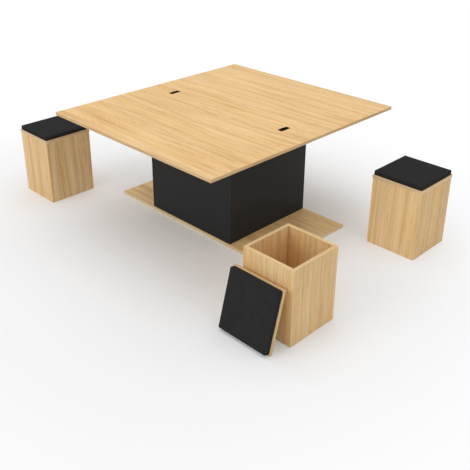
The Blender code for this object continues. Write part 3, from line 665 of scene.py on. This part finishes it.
def add_screw_head(maker, place, axis, sizes):
    """A low round head with a hexagon socket, its foot at a place and its top along an axis."""
    radius, height, socket, depth = sizes
    matrix = Matrix.Translation(place) @ axis.to_track_quat("Z", "Y").to_matrix().to_4x4()
    steps = range(SCREW_STEPS)
    rings = [([radius * share for _ in steps], height * rise) for share, rise in SCREW_RINGS]
    rings += [([socket_radius(step, socket) for step in steps], level) for level in (height, height - depth)]
    loops = []
    for reaches, level in rings:
        loop = []
        for step, reach in enumerate(reaches):
            angle = 2 * math.pi * step / SCREW_STEPS
            point = matrix @ Vector((reach * math.cos(angle), reach * math.sin(angle), level))
            loop.append(maker.verts.new(point))
        loops.append(loop)
    for lower, upper in zip(loops, loops[1:]):
        join_loops(maker, lower, upper)
    maker.faces.new(loops[-1])
    maker.faces.new(list(reversed(loops[0])))


def add_screws(name, places, axis, sizes, body, material):
    maker = bmesh.new()
    for place in places:
        add_screw_head(maker, Vector(place), Vector(axis), sizes)
    add_piece(name, maker, body, material, SCREW_SHARP)


def add_hinge_screws(steel):
    """Two countersunk screws in each hinge plate."""
    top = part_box("carrier_leaf")[1].z
    for word in ("left", "right"):
        for part, side, body in (("fixed", -1, "top_carrier"), ("moving", 1, "folding_top")):
            low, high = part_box("leaf_hinge_" + word + "_" + part + "_plate")
            end = high.y if side > 0 else low.y
            y = end - side * HINGE_SCREW_INSET
            places = [(low.x + HINGE_SCREW_INSET, y, top), (high.x - HINGE_SCREW_INSET, y, top)]
            name = "leaf_hinge_" + word + "_" + part + "_screws"
            add_screws(name, places, (0, 0, 1), HINGE_SCREW, body, steel)


def add_bracket_screws(word, side, steel):
    """Screws that hold one bracket to the box."""
    panel_low, panel_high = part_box("box_" + word + "_panel")
    panel_x = panel_high.x if side < 0 else panel_low.x
    face_x = panel_x - side * BRACKET_FACE
    low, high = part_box("pivot_pin_front_lower_" + word)
    pivot = (low + high) / 2
    places = [(face_x, pivot.y + y, pivot.z + z) for y, z in BRACKET_SCREW_PLACES]
    add_screws("bracket_screws_" + word, places, (-side, 0, 0), BRACKET_SCREW, "base", steel)


def add_rail_screws(word, side, steel):
    """Screws that hold one rail to the carrier leaf."""
    low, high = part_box("top_rail_" + word)
    across = RAIL_FLANGE_SHARE if side < 0 else 1 - RAIL_FLANGE_SHARE
    x = low.x + (high.x - low.x) * across
    z = high.z - RAIL_THICKNESS
    places = [(x, low.y + (high.y - low.y) * share, z) for share in RAIL_SCREW_SHARES]
    add_screws("rail_screws_" + word, places, (0, 0, -1), RAIL_SCREW, "top_carrier", steel)


def lid_frame(prefix):
    """Axes of a lid: along, across, and up out of its board towards the pad."""
    board_centre, (side, up, normal), _ = flat_frame(nodes[prefix + "_lid_board"])
    pad_centre = spread(nodes[prefix + "_lid_pad"], (side, up, normal))[0]
    if (pad_centre - board_centre).dot(normal) < 0:
        normal = -normal
    return side, normal.cross(side), normal


def add_lid_screws(prefix, steel):
    """Four countersunk screws through the locating board into the lid."""
    locator = nodes[prefix + "_lid_locating_board"]
    centre, (side, up, normal), (half_side, half_up, half_normal) = spread(locator, lid_frame(prefix))
    reach_side = half_side - LID_SCREW_INSET
    reach_up = half_up - LID_SCREW_INSET
    places = [
        centre + side * x * reach_side + up * y * reach_up - normal * half_normal
        for x, y in ((-1, -1), (1, -1), (1, 1), (-1, 1))
    ]
    add_screws(prefix + "_lid_screws", places, -normal, LID_SCREW, prefix + "_lid", steel)


# Pads
def pad_lines(half):
    """Grid lines across a pad: a place in its inner rectangle and a share of the corner radius beyond it."""
    inner = half - PAD_CORNER_RADIUS
    cells = round(2 * inner / PAD_CELL)
    strip = [step / PAD_CORNER_CELLS for step in range(1, PAD_CORNER_CELLS + 1)]
    return (
        [(-inner, -share) for share in reversed(strip)]
        + [(inner * (2 * step / cells - 1), 0.0) for step in range(cells + 1)]
        + [(inner, share) for share in strip])


def pad_point(line_x, line_y, radius, level):
    """Where two grid lines meet, with the square of each corner bent into a quarter round."""
    (inner_x, share_x), (inner_y, share_y) = line_x, line_y
    out = Vector((share_x, share_y, 0)).normalized() * max(abs(share_x), abs(share_y))
    return Vector((inner_x, inner_y, level)) + out * radius


def pad_profile(height):
    """Inset and level of each ring of a pad's side, from its rounded foot to its rounded edge."""
    turns = [math.pi / 2 * step / PAD_ROUND_STEPS for step in range(1, PAD_ROUND_STEPS)]
    side = height - PAD_EDGE_ROUND - PAD_UNDERCUT
    foot = [(PAD_UNDERCUT * (1 - math.sin(turn)), PAD_UNDERCUT * (1 - math.cos(turn))) for turn in turns]
    wall = [(0.0, PAD_UNDERCUT + side * step / PAD_SIDE_STEPS) for step in range(PAD_SIDE_STEPS + 1)]
    edge = [
        (PAD_EDGE_ROUND * (1 - math.cos(turn)), height - PAD_EDGE_ROUND * (1 - math.sin(turn)))
        for turn in turns]
    return foot + wall + edge


def pad_blank(half_x, half_y, height):
    """The slab that the cover is drawn over: two even grids, joined round a soft-edged side."""
    maker = bmesh.new()
    lines_x, lines_y = pad_lines(half_x), pad_lines(half_y)
    sheets = []
    for inset, level, facing in ((PAD_UNDERCUT, 0.0, -1), (PAD_EDGE_ROUND, height, 1)):
        radius = PAD_CORNER_RADIUS - inset
        sheet = [[maker.verts.new(pad_point(x, y, radius, level)) for y in lines_y] for x in lines_x]
        for first, second in zip(sheet, sheet[1:]):
            for index in range(len(lines_y) - 1):
                corners = (first[index], second[index], second[index + 1], first[index + 1])
                maker.faces.new(corners[::facing])
        sheets.append(sheet)
    last_x, last_y = len(lines_x) - 1, len(lines_y) - 1
    rim = (
        [(i, 0) for i in range(last_x)] + [(last_x, j) for j in range(last_y)]
        + [(i, last_y) for i in range(last_x, 0, -1)] + [(0, j) for j in range(last_y, 0, -1)])
    loops = [[sheets[0][i][j] for i, j in rim]]
    for inset, level in pad_profile(height):
        radius = PAD_CORNER_RADIUS - inset
        loops.append([maker.verts.new(pad_point(lines_x[i], lines_y[j], radius, level)) for i, j in rim])
    loops.append([sheets[1][i][j] for i, j in rim])
    for lower, upper in zip(loops, loops[1:]):
        join_loops(maker, lower, upper)
    return maker


def inflate(pad):
    """Blows the cover up a little; its underside stays glued to the board."""
    glued = pad.vertex_groups.new(name="glued")
    glued.add([vert.index for vert in pad.data.vertices if vert.co.z < PAD_UNDERCUT / 2], 1.0, "REPLACE")
    cloth = pad.modifiers.new("stuffing", "CLOTH")
    cloth.settings.vertex_group_mass = glued.name
    cloth.settings.use_pressure = True
    cloth.settings.uniform_pressure_force = PAD_PRESSURE
    cloth.settings.effector_weights.gravity = 0
    scene = bpy.context.scene
    for step in range(1, PAD_FRAMES + 1):
        scene.frame_set(step)
    graph = bpy.context.evaluated_depsgraph_get()
    blown = [vert.co.copy() for vert in pad.evaluated_get(graph).data.vertices]
    pad.modifiers.remove(cloth)
    scene.frame_set(1)
    for vert, place in zip(pad.data.vertices, blown):
        shift = place - vert.co
        if shift.length > 0:
            vert.co += shift * (PAD_CAP * math.tanh(shift.length / PAD_CAP) / shift.length)


def pleat_corners(pad, half_x, half_y, height):
    """Small gathers where the cover is drawn under at each corner."""
    for vert in pad.data.vertices:
        out = Vector((
            max(0.0, abs(vert.co.x) - (half_x - PAD_CORNER_RADIUS)),
            max(0.0, abs(vert.co.y) - (half_y - PAD_CORNER_RADIUS)),
            0))
        if out.x <= 0 or out.y <= 0 or vert.co.z <= 0:
            continue
        turn = math.atan2(out.y, out.x)
        low = max(0.0, 1 - vert.co.z / height)
        fade = math.sin(2 * turn) * low * min(1.0, vert.co.z / PAD_UNDERCUT)
        depth = PAD_PLEAT * fade * (1 + math.cos(4 * PAD_PLEATS * turn)) / 2
        out.x = math.copysign(out.x, vert.co.x)
        out.y = math.copysign(out.y, vert.co.y)
        vert.co -= out.normalized() * depth


def refine(pad):
    """One subdivision, applied."""
    smooth = pad.modifiers.new("fine", "SUBSURF")
    smooth.levels = 1
    smooth.render_levels = 1
    graph = bpy.context.evaluated_depsgraph_get()
    fine = bpy.data.meshes.new_from_object(pad.evaluated_get(graph), depsgraph=graph)
    pad.modifiers.remove(smooth)
    pad.data = fine


def add_pad(prefix, seed):
    """The covered pad of one lid, made flat and then laid on its board."""
    node = prefix + "_lid_pad"
    centre, (side, up, normal), (half_x, half_y, half_z) = spread(nodes[node], lid_frame(prefix))
    height = 2 * half_z
    blank = pad_blank(half_x - PAD_SHRINK, half_y - PAD_SHRINK, height - PAD_START_DROP)
    leather = leather_material(prefix, seed)
    pad = add_piece(prefix + "_pad_cover", blank, prefix + "_lid", leather, PAD_SHARP)
    inflate(pad)
    pleat_corners(pad, half_x, half_y, height)
    refine(pad)
    foot = centre - normal * half_z
    turn = Matrix((side, up, normal)).transposed().to_4x4()
    pad.data.transform(Matrix.Translation(foot) @ turn)
    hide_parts(node)


# Stage, light and camera
def seen_rays(tree):
    """1 for the camera's rays, and for the glossy and transmitted ones that show the background too."""
    rays = tree.nodes.new("ShaderNodeLightPath").outputs
    seen = rays["Is Camera Ray"]
    for name in ("Is Glossy Ray", "Is Transmission Ray"):
        either = tree.nodes.new("ShaderNodeMath")
        either.operation = "MAXIMUM"
        tree.links.new(seen, either.inputs[0])
        tree.links.new(rays[name], either.inputs[1])
        seen = either.outputs[0]
    return seen


def floor_fade(shader):
    """How far the floor has faded to white, by the way from the middle of its shadows."""
    place = shader.object_place()
    forward = (math.sin(CAMERA_TURN), -math.cos(CAMERA_TURN), 0.0)
    sideways = (math.cos(CAMERA_TURN), math.sin(CAMERA_TURN), 0.0)
    spot = {}
    for index, axis in enumerate((forward, sideways)):
        spot[index] = shader.math("SUBTRACT", shader.vector("DOT_PRODUCT", place, axis), FADE_CENTRE[index])
    reach = shader.vector("LENGTH", shader.node("CombineXYZ", spot).outputs[0])
    return shader.blend(reach, *FADE_STEPS, FADE_LEAST)


def floor_material():
    shader = Shader("studio_floor")
    seen = seen_rays(shader.tree)
    fade = shader.math("MULTIPLY", floor_fade(shader), seen)
    tint = shader.mix(seen, FLOOR_COLOUR, FLOOR_SEEN_COLOUR)
    matt = shader.node("BsdfDiffuse", {"Color": tint}).outputs[0]
    white = shader.node("Emission", {"Color": WHITE, "Strength": 1.0}).outputs[0]
    mixed = shader.node("MixShader", {0: fade, 1: matt, 2: white}).outputs[0]
    shader.feed(shader.tree.nodes["Material Output"].inputs["Surface"], mixed)
    shader.tree.nodes.remove(shader.surface)
    return shader.material


def add_floor():
    """Pale floor that keeps the soft shadows and fades to plain white away from the object."""
    maker = bmesh.new()
    bmesh.ops.create_grid(maker, x_segments=1, y_segments=1, size=FLOOR_HALF)
    mesh = bpy.data.meshes.new("studio_floor")
    maker.to_mesh(mesh)
    maker.free()
    floor = bpy.data.objects.new("studio_floor", mesh)
    floor.location.z = -FLOOR_DROP
    bpy.context.scene.collection.objects.link(floor)
    mesh.materials.append(floor_material())


def add_world():
    """Soft light from all round, and plain white where the background is seen."""
    world = bpy.data.worlds.new("studio")
    bpy.context.scene.world = world
    world.use_nodes = True
    tree = world.node_tree
    lit = tree.nodes["Background"]
    white = tree.nodes.new("ShaderNodeBackground")
    for background, strength in ((lit, WORLD_LIGHT), (white, 1.0)):
        background.inputs["Color"].default_value = WHITE
        background.inputs["Strength"].default_value = strength
    mixed = tree.nodes.new("ShaderNodeMixShader")
    tree.links.new(seen_rays(tree), mixed.inputs[0])
    tree.links.new(lit.outputs[0], mixed.inputs[1])
    tree.links.new(white.outputs[0], mixed.inputs[2])
    tree.links.new(mixed.outputs[0], tree.nodes["World Output"].inputs["Surface"])


def add_lamp(name, place, aim, size, power):
    data = bpy.data.lights.new(name, "AREA")
    data.shape = "SQUARE"
    data.size = size
    data.energy = power
    lamp = bpy.data.objects.new(name, data)
    lamp.location = place
    lamp.rotation_euler = (Vector(aim) - Vector(place)).to_track_quat("-Z", "Y").to_euler()
    bpy.context.scene.collection.objects.link(lamp)


def add_camera():
    data = bpy.data.cameras.new("camera")
    data.sensor_width = SENSOR
    data.lens = FOCAL_PIXELS / PICTURE_WIDTH * SENSOR
    data.shift_x, data.shift_y = CAMERA_SHIFT
    camera = bpy.data.objects.new("camera", data)
    camera.location = CAMERA_PLACE
    camera.rotation_euler = (math.pi / 2 - CAMERA_DOWN, 0, CAMERA_TURN)
    bpy.context.scene.collection.objects.link(camera)
    bpy.context.scene.camera = camera


add_camera()
add_world()
for name, lamp in LAMPS.items():
    add_lamp(name, *lamp)
add_floor()
coated, hinge = dress_nodes()
add_hinge_screws(hinge)
for word, side in (("left", -1), ("right", 1)):
    add_bracket_screws(word, side, coated)
    add_rail_screws(word, side, coated)
for seed, prefix in enumerate(PAD_PAINTED_LIGHT_TONES, 1):
    add_pad(prefix, seed)
    add_lid_screws(prefix, coated)

bpy.context.scene.view_settings.view_transform = "Standard"
